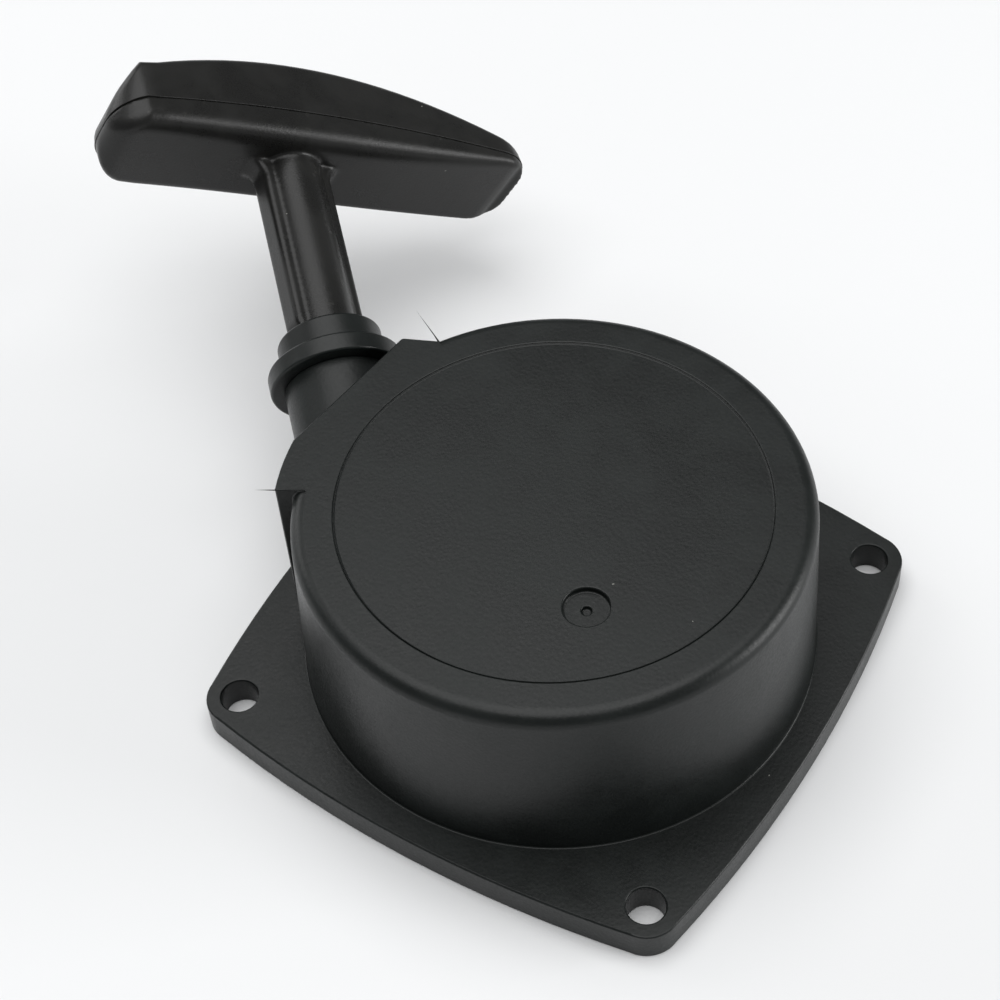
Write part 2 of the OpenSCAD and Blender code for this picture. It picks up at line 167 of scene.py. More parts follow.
def math_node(tree, operation, first, second=None, clamp=False):
    """A Math node fed by sockets or plain numbers, as its output socket."""
    made = tree.nodes.new("ShaderNodeMath")
    made.operation = operation
    made.use_clamp = clamp
    for socket, value in zip(made.inputs, (first, second)):
        if isinstance(value, bpy.types.NodeSocket):
            link(tree, value, socket)
        elif value is not None:
            socket.default_value = value
    return made.outputs[0]


def ramp(tree, value, low, high, bottom=0.0, top=1.0):
    """A smooth Map Range from low..high to bottom..top, as its output socket."""
    made = tree.nodes.new("ShaderNodeMapRange")
    made.interpolation_type = "SMOOTHSTEP"
    link(tree, value, made.inputs["Value"])
    for label, number in (("From Min", low), ("From Max", high), ("To Min", bottom), ("To Max", top)):
        made.inputs[label].default_value = number
    return made.outputs["Result"]


# A Mix node has one set of sockets for each kind of data, and these are the colour ones.
MIX_SHARE = 0
MIX_FIRST = 6
MIX_SECOND = 7
MIX_RESULT = 2


def mix_colour(tree, share, first, second):
    """A colour mix; share and the colours are sockets or values."""
    made = tree.nodes.new("ShaderNodeMix")
    made.data_type = "RGBA"
    for index, value in ((MIX_SHARE, share), (MIX_FIRST, first), (MIX_SECOND, second)):
        if isinstance(value, bpy.types.NodeSocket):
            link(tree, value, made.inputs[index])
        elif hasattr(value, "__len__"):
            made.inputs[index].default_value = (*value[:3], 1.0)
        else:
            made.inputs[index].default_value = value
    return made.outputs[MIX_RESULT]


def toned(colour, factor):
    """That colour made darker or lighter by a factor."""
    return [factor * c for c in colour]


def swing(tree, value, width):
    """A value from 0 to 1 turned into a swing of that width about zero."""
    return math_node(tree, "MULTIPLY", math_node(tree, "SUBTRACT", value, 0.5), width)


def new_group(name, inputs, outputs):
    """A shader node group with float inputs and outputs, and its two end nodes."""
    tree = bpy.data.node_groups.new(name, "ShaderNodeTree")
    for label, default in inputs.items():
        socket = tree.interface.new_socket(label, in_out="INPUT", socket_type="NodeSocketFloat")
        socket.default_value = default
    for label in outputs:
        tree.interface.new_socket(label, in_out="OUTPUT", socket_type="NodeSocketFloat")
    return tree, tree.nodes.new("NodeGroupInput"), tree.nodes.new("NodeGroupOutput")


def object_place(tree):
    """The place on the piece, which stays the same when the piece moves."""
    return tree.nodes.new("ShaderNodeTexCoord").outputs["Object"]


def noise(tree, place, scale, detail=2.0, rough=0.5, distortion=0.0):
    """A Noise Texture's value at that place; scale is a socket or a number."""
    made = tree.nodes.new("ShaderNodeTexNoise")
    link(tree, place, made.inputs["Vector"])
    if isinstance(scale, bpy.types.NodeSocket):
        link(tree, scale, made.inputs["Scale"])
    else:
        made.inputs["Scale"].default_value = scale
    made.inputs["Detail"].default_value = detail
    made.inputs["Roughness"].default_value = rough
    made.inputs["Distortion"].default_value = distortion
    return made.outputs["Fac"]


# Shared effects

def spark_grain():
    """Fine eroded texture of a moulding: small pits on soft swells, and slow patches."""
    if "Spark grain" in bpy.data.node_groups:
        return bpy.data.node_groups["Spark grain"]
    tree, start, end = new_group("Spark grain", {"Grain": 0.3 * MM}, ("Height", "Patches", "Fine"))
    pit_size = 0.55
    fine_share = 0.65
    pit_share = 0.5
    place = object_place(tree)
    scale = math_node(tree, "DIVIDE", 1.0, start.outputs["Grain"])
    fine = noise(tree, place, scale, detail=3.0, rough=0.6)
    cells = node(tree, "ShaderNodeTexVoronoi", feature="SMOOTH_F1", Smoothness=0.6)
    link(tree, place, cells.inputs["Vector"])
    link(tree, math_node(tree, "MULTIPLY", scale, pit_size), cells.inputs["Scale"])
    pits = ramp(tree, cells.outputs["Distance"], low=0.1, high=0.75)
    swells = math_node(tree, "MULTIPLY", fine, fine_share)
    height = math_node(tree, "ADD", swells, math_node(tree, "MULTIPLY", pits, pit_share))
    patches = noise(tree, place, scale=95.0, detail=5.0, rough=0.62, distortion=0.4)
    link(tree, height, end.inputs["Height"])
    link(tree, ramp(tree, patches, low=0.36, high=0.66), end.inputs["Patches"])
    link(tree, ramp(tree, fine, low=0.3, high=0.7), end.inputs["Fine"])
    return tree


def lint_specks():
    """Sparse pale specks of lint and dust."""
    if "Lint specks" in bpy.data.node_groups:
        return bpy.data.node_groups["Lint specks"]
    tree, start, end = new_group("Lint specks", {"Spacing": 2.5 * MM, "Share": 0.12}, ("Mask",))
    largest = 0.055
    place = object_place(tree)
    bent = node(tree, "ShaderNodeTexNoise", Scale=900.0, Detail=2.0)
    link(tree, place, bent.inputs["Vector"])
    shift = node(tree, "ShaderNodeVectorMath", operation="SCALE", Scale=0.6 * MM)
    link(tree, bent.outputs["Color"], shift.inputs[0])
    moved = node(tree, "ShaderNodeVectorMath", operation="ADD")
    link(tree, place, moved.inputs[0])
    link(tree, shift.outputs[0], moved.inputs[1])
    cells = node(tree, "ShaderNodeTexVoronoi", feature="F1")
    link(tree, moved.outputs[0], cells.inputs["Vector"])
    link(tree, math_node(tree, "DIVIDE", 1.0, start.outputs["Spacing"]), cells.inputs["Scale"])
    split = node(tree, "ShaderNodeSeparateColor")
    link(tree, cells.outputs["Color"], split.inputs["Color"])
    chosen = math_node(tree, "LESS_THAN", split.outputs[0], start.outputs["Share"])
    size = math_node(tree, "MULTIPLY", split.outputs[1], largest)
    near = math_node(tree, "LESS_THAN", cells.outputs["Distance"], size)
    link(tree, math_node(tree, "MULTIPLY", chosen, near), end.inputs["Mask"])
    return tree


def rubbed_edges():
    """Edges and corners rubbed in handling, broken up by noise."""
    if "Rubbed edges" in bpy.data.node_groups:
        return bpy.data.node_groups["Rubbed edges"]
    tree, start, end = new_group("Rubbed edges", {"Amount": 0.5}, ("Mask",))
    sharp = tree.nodes.new("ShaderNodeNewGeometry").outputs["Pointiness"]
    edge = ramp(tree, sharp, low=0.52, high=0.6)
    specks = noise(tree, object_place(tree), scale=900.0, detail=4.0, rough=0.6)
    broken = ramp(tree, specks, low=0.35, high=0.65)
    mask = math_node(tree, "MULTIPLY", edge, broken)
    shown = math_node(tree, "MULTIPLY", mask, start.outputs["Amount"], clamp=True)
    link(tree, shown, end.inputs["Mask"])
    return tree


def drawn_metal():
    """Fine drawn streaks, pits and slow stains of worked steel."""
    if "Drawn metal" in bpy.data.node_groups:
        return bpy.data.node_groups["Drawn metal"]
    tree, start, end = new_group("Drawn metal", {"Stretch": 14.0}, ("Streaks", "Stains", "Pits"))
    place = object_place(tree)
    axes = node(tree, "ShaderNodeSeparateXYZ")
    link(tree, place, axes.inputs[0])
    squeezed = node(tree, "ShaderNodeCombineXYZ")
    link(tree, axes.outputs[0], squeezed.inputs[0])
    for axis in (1, 2):
        drawn = math_node(tree, "MULTIPLY", axes.outputs[axis], start.outputs["Stretch"])
        link(tree, drawn, squeezed.inputs[axis])
    streaks = noise(tree, squeezed.outputs[0], scale=700.0, detail=3.0, rough=0.6)
    stains = noise(tree, place, scale=160.0, detail=5.0, rough=0.65, distortion=0.6)
    pits = noise(tree, place, scale=2600.0, detail=2.0, rough=0.6)
    link(tree, streaks, end.inputs["Streaks"])
    link(tree, ramp(tree, stains, low=0.35, high=0.7), end.inputs["Stains"])
    link(tree, ramp(tree, pits, low=0.58, high=0.75), end.inputs["Pits"])
    return tree


def braid_weave():
    """Crossed strands of a braided rope, from the place along it and the angle round it."""
    if "Braid weave" in bpy.data.node_groups:
        return bpy.data.node_groups["Braid weave"]
    tree, start, end = new_group(
        "Braid weave", {"Along": 0.0, "Round": 0.0, "Lay": 1.5 * MM, "Strands": 8.0}, ("Height", "Strand"))
    turn = math_node(tree, "MULTIPLY", start.outputs["Round"], start.outputs["Strands"])
    lays = math_node(tree, "DIVIDE", start.outputs["Along"], start.outputs["Lay"])
    step = math_node(tree, "MULTIPLY", lays, math.tau)
    right = math_node(tree, "SINE", math_node(tree, "ADD", step, turn))
    left = math_node(tree, "SINE", math_node(tree, "SUBTRACT", step, turn))
    over = math_node(tree, "MULTIPLY", right, left)
    strand_roundness = 0.5
    # This height also sets the painted shade in the grooves between strands, in finish_braid.
    height = math_node(tree, "ABSOLUTE", over)
    link(tree, math_node(tree, "POWER", height, strand_roundness), end.inputs["Height"])
    link(tree, ramp(tree, over, low=-0.3, high=0.3), end.inputs["Strand"])
    return tree


def use_group(tree, group, **values):
    """Places a shared effect in a material, with its own values."""
    made = tree.nodes.new("ShaderNodeGroup")
    made.node_tree = group
    for key, value in values.items():
        made.inputs[key].default_value = value
    return made


def new_material(name):
    """An empty node material with a Principled shader, as (material, tree, shader)."""
    made = bpy.data.materials.new(name)
    made.use_nodes = True
    tree = made.node_tree
    tree.nodes.clear()
    shader = tree.nodes.new("ShaderNodeBsdfPrincipled")
    link(tree, shader.outputs[0], tree.nodes.new("ShaderNodeOutputMaterial").inputs["Surface"])
    return made, tree, shader


def bump(tree, shader, height, distance, strength=1.0):
    """Raises a shader's surface by a height from 0 to 1 times the distance."""
    made = node(tree, "ShaderNodeBump", Distance=distance, Strength=strength)
    link(tree, height, made.inputs["Height"])
    link(tree, made.outputs[0], shader.inputs["Normal"])


# Finishes

def moulded_black(name, colour, rough, grain, depth, rub=0.4, lint=0.05):
    """Black moulded plastic with spark-eroded grain, slow patches, rubbed edges and a little lint."""
    if name in bpy.data.materials:
        return bpy.data.materials[name]
    made, tree, shader = new_material(name)
    texture = use_group(tree, spark_grain(), Grain=grain)
    worn = use_group(tree, rubbed_edges(), Amount=rub)
    specks = use_group(tree, lint_specks(), Share=lint)
    dark = toned(colour, 0.82)
    light = toned(colour, 1.22)
    rubbed_colour = toned(colour, 2.6)
    lint_colour = (0.22, 0.22, 0.20)
    polish = -0.12
    base = mix_colour(tree, texture.outputs["Patches"], dark, light)
    base = mix_colour(tree, worn.outputs["Mask"], base, rubbed_colour)
    base = mix_colour(tree, specks.outputs["Mask"], base, lint_colour)
    link(tree, base, shader.inputs["Base Color"])
    spread = swing(tree, texture.outputs["Fine"], width=0.10)
    slow = swing(tree, texture.outputs["Patches"], width=0.06)
    level = math_node(tree, "ADD", math_node(tree, "ADD", spread, slow), rough)
    rubbed = math_node(tree, "MULTIPLY", worn.outputs["Mask"], polish)
    link(tree, math_node(tree, "ADD", level, rubbed, clamp=True), shader.inputs["Roughness"])
    shader.inputs["Specular IOR Level"].default_value = 0.3
    bump(tree, shader, texture.outputs["Height"], depth)
    return made


def worked_steel(name, colour, rough, stretch, stain):
    """Steel with drawn streaks, stains and pits."""
    if name in bpy.data.materials:
        return bpy.data.materials[name]
    made, tree, shader = new_material(name)
    metal = use_group(tree, drawn_metal(), Stretch=stretch)
    worn = use_group(tree, rubbed_edges(), Amount=0.6)
    pit_colour = toned(colour, 0.45)
    bare_colour = [min(1.0, c) for c in toned(colour, 1.25)]
    base = mix_colour(tree, metal.outputs["Stains"], colour, stain)
    base = mix_colour(tree, metal.outputs["Pits"], base, pit_colour)
    base = mix_colour(tree, worn.outputs["Mask"], base, bare_colour)
    link(tree, base, shader.inputs["Base Color"])
    shader.inputs["Metallic"].default_value = 1.0
    streak = swing(tree, metal.outputs["Streaks"], width=0.3)
    link(tree, math_node(tree, "ADD", streak, rough, clamp=True), shader.inputs["Roughness"])
    bump(tree, shader, metal.outputs["Streaks"], distance=0.02 * MM, strength=0.5)
    return made


def zinc_plate(colour):
    """Plated steel with a faint yellow stain."""
    return worked_steel("Zinc plate", list(colour), rough=0.3, stretch=12.0, stain=(0.5, 0.47, 0.36))


def finish_braid(tree, shader, along, around, colour):
    """Gives a shader the braid's colour with painted shade in the grooves between strands, roughness and
    height from two coordinates.
    """
    weave = use_group(tree, braid_weave())
    link(tree, along, weave.inputs["Along"])
    link(tree, around, weave.inputs["Round"])
    fibre_height = 0.25
    fibre_colour = (0.34, 0.32, 0.27)
    tracer_colour = [c * share for c, share in zip(colour, (0.8, 0.82, 0.86))]
    fibres = noise(tree, object_place(tree), scale=5200.0, detail=3.0, rough=0.7)
    # Painted shade: the grooves between the strands, where the weave's height is low, are darkened to 0.45
    # of the rope's colour.
    painted_groove_shade = mix_colour(tree, weave.outputs["Height"], toned(colour, 0.45), colour)
    tracer = mix_colour(tree, weave.outputs["Strand"], painted_groove_shade, tracer_colour)
    fuzz = ramp(tree, fibres, low=0.3, high=0.75, bottom=0.0, top=0.35)
    link(tree, mix_colour(tree, fuzz, tracer, fibre_colour), shader.inputs["Base Color"])
    dull = ramp(tree, fibres, low=0.3, high=0.7, bottom=0.72, top=0.92)
    link(tree, dull, shader.inputs["Roughness"])
    loose = math_node(tree, "MULTIPLY", fibres, fibre_height)
    height = math_node(tree, "ADD", weave.outputs["Height"], loose)
    bump(tree, shader, height, distance=0.25 * MM)
    shader.inputs["Sheen Weight"].default_value = 0.3


def drawn_rope(colour):
    """Braid on the straight rope, told by the pull line, so its lay holds when the rope is drawn."""
    made, tree, shader = new_material("Drawn rope")
    place = node(tree, "ShaderNodeVectorMath", operation="SUBTRACT")
    link(tree, object_place(tree), place.inputs[0])
    place.inputs[1].default_value = ROPE_START

    def part(direction):
        """How far the place lies in that direction."""
        dot = node(tree, "ShaderNodeVectorMath", operation="DOT_PRODUCT")
        link(tree, place.outputs[0], dot.inputs[0])
        dot.inputs[1].default_value = direction
        return dot.outputs["Value"]

    around = math_node(tree, "ARCTAN2", part(LEVEL), part(RISE))
    finish_braid(tree, shader, part(PULL), around, colour)
    return made


def wound_rope(colour):
    """Braid on the turns round the reel, told by the angle and the distance from the axis."""
    made, tree, shader = new_material("Wound rope")
    axes = node(tree, "ShaderNodeSeparateXYZ")
    link(tree, object_place(tree), axes.inputs[0])
    angle = math_node(tree, "ARCTAN2", axes.outputs[1], axes.outputs[0])
    lap_radius = 20 * MM
    rope_girth = 1.6 * MM
    along = math_node(tree, "MULTIPLY", angle, lap_radius)
    around = math_node(tree, "DIVIDE", axes.outputs[2], rope_girth)
    finish_braid(tree, shader, along, around, colour)
    return made


# Mesh helpers

SAME_PLACE = 1e-7
WELD_GAP = 0.002 * MM
FLAT_ANGLE = math.radians(0.4)
EDGE_ANGLE = math.radians(28)


def shade_all_smooth(mesh):
    """Shades every face of a mesh smooth."""
    mesh.polygons.foreach_set("use_smooth", [True] * len(mesh.polygons))


def finish_cad_node(name, material, edge=0.0):
    """Gives a carried-over CAD node its finish and, where edge is set, lightly rounded edges."""
    piece = frame["nodes"][name]
    piece.data.materials.clear()
    piece.data.materials.append(material)
    if "custom_normal" in piece.data.attributes:
        piece.data.attributes.remove(piece.data.attributes["custom_normal"])
    shade_all_smooth(piece.data)
    weld = piece.modifiers.new("Weld", "WELD")
    weld.merge_threshold = WELD_GAP
    if edge:
        flat = piece.modifiers.new("Flats", "DECIMATE")
        flat.decimate_type = "DISSOLVE"
        flat.angle_limit = FLAT_ANGLE
        rounds = piece.modifiers.new("Rounds", "BEVEL")
        rounds.width = edge
        rounds.segments = 2
        rounds.limit_method = "ANGLE"
        rounds.angle_limit = EDGE_ANGLE
        rounds.use_clamp_overlap = False
        rounds.harden_normals = True
        rounds.miter_outer = "MITER_ARC"
    normals = piece.modifiers.new("Normals", "WEIGHTED_NORMAL")
    normals.keep_sharp = True


def mesh_piece(name, vertices, faces):
    """A new object at the origin whose mesh holds the place."""
    mesh = bpy.data.meshes.new(name)
    mesh.from_pydata([tuple(v) for v in vertices], [], faces)
    mesh.update()
    piece = bpy.data.objects.new(name, mesh)
    bpy.context.scene.collection.objects.link(piece)
    return piece


def loft(name, rings):
    """A closed skin over rings of equally many points, with flat ends."""
    count = len(rings[0])
    vertices = [point for ring in rings for point in ring]
    faces = []
    for r in range(len(rings) - 1):
        for i in range(count):
            j = (i + 1) % count
            faces.append((r * count + i, r * count + j, (r + 1) * count + j, (r + 1) * count + i))
    faces.append(tuple(range(count))[::-1])
    last = (len(rings) - 1) * count
    faces.append(tuple(range(last, last + count)))
    return mesh_piece(name, vertices, faces)


def mend_normals(mesh):
    """Merges a closed mesh's doubles and turns its faces outwards."""
    shape = bmesh.new()
    shape.from_mesh(mesh)
    bmesh.ops.remove_doubles(shape, verts=shape.verts, dist=SAME_PLACE)
    bmesh.ops.recalc_face_normals(shape, faces=shape.faces)
    shape.to_mesh(mesh)
    shape.free()


def baked(source, name):
    """A plain mesh object of what a source object's modifiers make; the source is removed."""
    shown = bpy.context.evaluated_depsgraph_get()
    shown.update()
    mesh = bpy.data.meshes.new_from_object(source.evaluated_get(shown))
    bpy.data.objects.remove(source)
    mesh.name = name
    piece = bpy.data.objects.new(name, mesh)
    bpy.context.scene.collection.objects.link(piece)
    return piece


def fuse(parts, name, voxel, smoothing):
    """Joins closed parts into one skin with soft inner corners, and returns it as a plain mesh object."""
    whole = bmesh.new()
    for part in parts:
        mend_normals(part.data)
        whole.from_mesh(part.data)
        bpy.data.objects.remove(part)
    mesh = bpy.data.meshes.new(name + "_parts")
    whole.to_mesh(mesh)
    whole.free()
    source = bpy.data.objects.new(name + "_parts", mesh)
    bpy.context.scene.collection.objects.link(source)
    skin = source.modifiers.new("Skin", "REMESH")
    skin.mode = "VOXEL"
    skin.voxel_size = voxel
    soften = source.modifiers.new("Soften", "SMOOTH")
    soften.iterations = smoothing
    soften.factor = 0.5
    piece = baked(source, name)
    shade_all_smooth(piece.data)
    return piece


# Grip

class GripShape:
    """The grip's contours and sections in its own frame.

    Reach goes along the bar, side across it, and height along the pull.
    """

    def __init__(self, sizes):
        self.sizes = sizes
        turn = sizes.twist
        self.along = LEVEL * math.cos(turn) + RISE * math.sin(turn)
        self.across = RISE * math.cos(turn) - LEVEL * math.sin(turn)

    def place(self, reach, side, height):
        """The point of the starter at those three measures."""
        return ROPE_START + self.along * reach + self.across * side + PULL * height

    def crown(self, reach):
        """Height of the bar's outer contour, with its chamfer at the high end."""
        crown_reach = 0.4 * MM
        crown_fall = 6.0
        chamfer_reach = -27.4 * MM
        chamfer_slope = 1.28
        level = max(reach, chamfer_reach)
        height = self.sizes.outer - crown_fall * (level - crown_reach) ** 2
        return height - chamfer_slope * (level - reach)

    def seam(self, reach):
        """Height of the parting line."""
        seam_reach = 2 * MM
        seam_fall = 1.8
        return self.sizes.parting - seam_fall * (reach - seam_reach) ** 2

    def floor(self, reach):
        """Height of the bar's underside, which rises to the low end and sinks a little to the high end."""
        level_reach = 4 * MM
        rise = 1.0
        sink = 0.55
        past = reach - level_reach
        return self.sizes.inner + (rise if past > 0 else -sink) * past ** 2

    def pad(self, reach):
        """Growth of the bar over its high end, which stands a little proud."""
        first = -24.6 * MM
        last = -25.5 * MM
        proud = 0.45 * MM
        share = min(1.0, max(0.0, (first - reach) / (first - last)))
        return proud * share

    def half_width(self, reach, corner):
        """Half the bar's width at that reach, for a plan whose corners have that radius."""
        low_corner_share = 0.72
        s = self.sizes
        end = s.high_end
        if reach > 0:
            end = s.low_end
            corner *= low_corner_share
        past = min(max(0.0, abs(reach) - (end - corner)), corner)
        return s.half_width - corner + math.sqrt(max(0.0, corner ** 2 - past ** 2))

    def stations(self):
        """Reaches of the sections, close together near the ends."""
        s = self.sizes
        near = [0, 0.0015, 0.006, 0.014, 0.025, 0.04, 0.06, 0.085, 0.115, 0.15]
        low = [s.low_end * (1 - share) for share in near]
        high = [-s.high_end * (1 - share) for share in near]
        steps = 22
        reach_low, reach_high = min(low), max(high)
        middle = [reach_high + (reach_low - reach_high) * i / steps for i in range(1, steps)]
        return sorted(low + high + middle)

    def ring(self, reach, bottom, top, round_bottom, round_top, corner_bottom, corner_top, grow):
        """A closed section with four rounded corners, one of the lower two less than the other."""
        corner_steps = 6
        depth_limit = 0.6
        width_limit = 0.9
        under_share = 0.5
        wide_bottom = self.half_width(reach, corner_bottom) + grow
        wide_top = self.half_width(reach, corner_top) + grow
        depth = top - bottom
        r_top = min(round_top, depth_limit * depth, width_limit * wide_top)
        r_bottom = min(round_bottom, depth_limit * depth, width_limit * wide_bottom)
        r_under = under_share * r_bottom
        corners = (
            (wide_top - r_top, top - r_top, 0, r_top),
            (r_top - wide_top, top - r_top, 90, r_top),
            (r_under - wide_bottom, bottom + r_under, 180, r_under),
            (wide_bottom - r_bottom, bottom + r_bottom, 270, r_bottom),
        )
        points = []
        for side, height, first, radius in corners:
            for step in range(corner_steps + 1):
                angle = math.radians(first + 90 / corner_steps * step)
                out = side + radius * math.cos(angle)
                up = height + radius * math.sin(angle)
                points.append(self.place(reach, out, up))
        return points

    def end_round(self, reach, radius):
        """How much an end of that radius, seen from the side, takes off a contour."""
        s = self.sizes
        left = s.low_end - reach if reach > 0 else s.high_end + reach
        short = max(0.0, radius - max(0.0, left))
        return radius - math.sqrt(max(0.0, radius ** 2 - short ** 2))


def grip_bar(shape, name, cap):
    """The loft of one half of the bar: the body under the parting line, or the cap over it."""
    lip = 0.07 * MM
    gap = -0.05 * MM
    seam_edge = 0.12 * MM
    seam_corner = 7.0 * MM
    face_corner = 7.4 * MM
    crown_edge = 1.6 * MM
    crown_end = 2.0 * MM
    cap_least = 0.6 * MM
    floor_edge = 3.3 * MM
    floor_end = 3.6 * MM
    body_least = 1.0 * MM
    body_pad = 0.6
    rings = []
    for reach in shape.stations():
        seam = shape.seam(reach)
        pad = shape.pad(reach)
        if cap:
            crown = shape.crown(reach) + pad - shape.end_round(reach, crown_end)
            top = max(crown, seam + cap_least)
            ring = shape.ring(
                reach, seam + gap, top, seam_edge, crown_edge, seam_corner, face_corner, lip + pad)
        else:
            floor = shape.floor(reach) + shape.end_round(reach, floor_end)
            bottom = min(floor, seam - body_least)
            ring = shape.ring(
                reach, bottom, seam - gap, floor_edge, seam_edge, face_corner, seam_corner, body_pad * pad)
        rings.append(ring)
    return loft(name, rings)


def flare(height, floor, radius):
    """Growth of the stem where it meets the bar; it ends a little above the bar's underside."""
    sunk = 0.3 * MM
    up = max(0.0, height - (floor + sunk - radius))
    return radius - math.sqrt(max(0.0, radius ** 2 - min(up, radius) ** 2))


def grip_stem(shape):
    """The stem's round core with its rope hole, flared into the bar."""
    s = shape.sizes
    hole = 2.3 * MM
    mouth = 0.5 * MM
    root = 0.9 * MM
    sunk = 2.5 * MM
    steps = 60
    top = s.inner + sunk
    length = top - s.stem_start - mouth
    heights = [s.stem_start + mouth + length * i / steps for i in range(steps + 1)]
    outline = [
        (hole, s.stem_start + mouth),
        (hole + mouth, s.stem_start),
        (s.stem_radius - mouth, s.stem_start),
    ]
    outline += [(s.stem_radius + flare(h, s.inner, root), h) for h in heights]
    outline.append((hole, top))
    turns = 64
    vertices, faces = [], []
    for i in range(turns):
        angle = math.tau * i / turns
        for radius, height in outline:
            vertices.append(shape.place(radius * math.cos(angle), radius * math.sin(angle), height))
    count = len(outline)
    for i in range(turns):
        a = i * count
        b = (i + 1) % turns * count
        for j in range(count):
            k = (j + 1) % count
            faces.append((a + j, a + k, b + k, b + j))
    return mesh_piece("stem", vertices, faces)


def grip_web(shape, side):
    """One of the two webs that stand along the stem, rounded on its outer edge."""
    s = shape.sizes
    start = s.stem_start + 1 * MM
    top = s.inner + 2.0 * MM
    taper = 5 * MM
    root = 3.4 * MM
    half = 2.5 * MM
    edge = 0.9 * MM
    buried = 0.6 * MM
    inner_reach = 3.4 * MM
    steps = 70
    rings = []
    for i in range(steps + 1):
        height = start + (top - start) * i / steps
        share = min(1.0, (height - start) / taper)
        ease = share * share * (3 - 2 * share)
        reach = s.stem_radius - buried + (s.web_reach - s.stem_radius + buried) * ease
        reach += flare(height, s.inner, root)
        plan = [(inner_reach, -half), (reach - edge, -half)]
        for angle in map(math.radians, (30, 60, 90)):
            plan.append((reach - edge + edge * math.sin(angle), -half + edge - edge * math.cos(angle)))
        for angle in map(math.radians, (0, 30, 60, 90)):
            plan.append((reach - edge + edge * math.cos(angle), half - edge + edge * math.sin(angle)))
        plan.append((inner_reach, half))
        rings.append([shape.place(side * x, y, height) for x, y in plan])
    return loft("web", rings)


# Rope

def rope_sweep():
    """Geometry Nodes tree that sweeps a round cord along a straight line between two named points."""
    tree = bpy.data.node_groups.new("Rope sweep", "GeometryNodeTree")
    inputs = (
        ("Start", "NodeSocketVector"),
        ("End", "NodeSocketVector"),
        ("Radius", "NodeSocketFloat"),
        ("Rings", "NodeSocketInt"),
        ("Sides", "NodeSocketInt"),
        ("Finish", "NodeSocketMaterial"),
    )
    for label, kind in inputs:
        tree.interface.new_socket(label, in_out="INPUT", socket_type=kind)
    tree.interface.new_socket("Geometry", in_out="OUTPUT", socket_type="NodeSocketGeometry")
    start = tree.nodes.new("NodeGroupInput")
    end = tree.nodes.new("NodeGroupOutput")
    line = tree.nodes.new("GeometryNodeCurvePrimitiveLine")
    link(tree, start.outputs["Start"], line.inputs["Start"])
    link(tree, start.outputs["End"], line.inputs["End"])
    even = tree.nodes.new("GeometryNodeResampleCurve")
    link(tree, line.outputs[0], even.inputs["Curve"])
    link(tree, start.outputs["Rings"], even.inputs["Count"])
    circle = tree.nodes.new("GeometryNodeCurvePrimitiveCircle")
    link(tree, start.outputs["Sides"], circle.inputs["Resolution"])
    link(tree, start.outputs["Radius"], circle.inputs["Radius"])
    skin = tree.nodes.new("GeometryNodeCurveToMesh")
    skin.inputs["Fill Caps"].default_value = True
    link(tree, even.outputs[0], skin.inputs["Curve"])
    link(tree, circle.outputs[0], skin.inputs["Profile Curve"])
    real = tree.nodes.new("GeometryNodeRealizeInstances")
    finish = tree.nodes.new("GeometryNodeSetMaterial")
    link(tree, skin.outputs[0], real.inputs[0])
    link(tree, real.outputs[0], finish.inputs["Geometry"])
    link(tree, start.outputs["Finish"], finish.inputs["Material"])
    link(tree, finish.outputs[0], end.inputs[0])
    return tree


def grown(name, tree, values):
    """A plain mesh object made by a Geometry Nodes tree with these named inputs."""
    host = bpy.data.objects.new(name + "_host", bpy.data.meshes.new(name + "_host"))
    bpy.context.scene.collection.objects.link(host)
    growth = host.modifiers.new("Growth", "NODES")
    growth.node_group = tree
    for item in tree.interface.items_tree:
        if item.in_out == "INPUT" and item.name in values:
            growth[item.identifier] = values[item.name]
    return baked(host, name)


# Operators

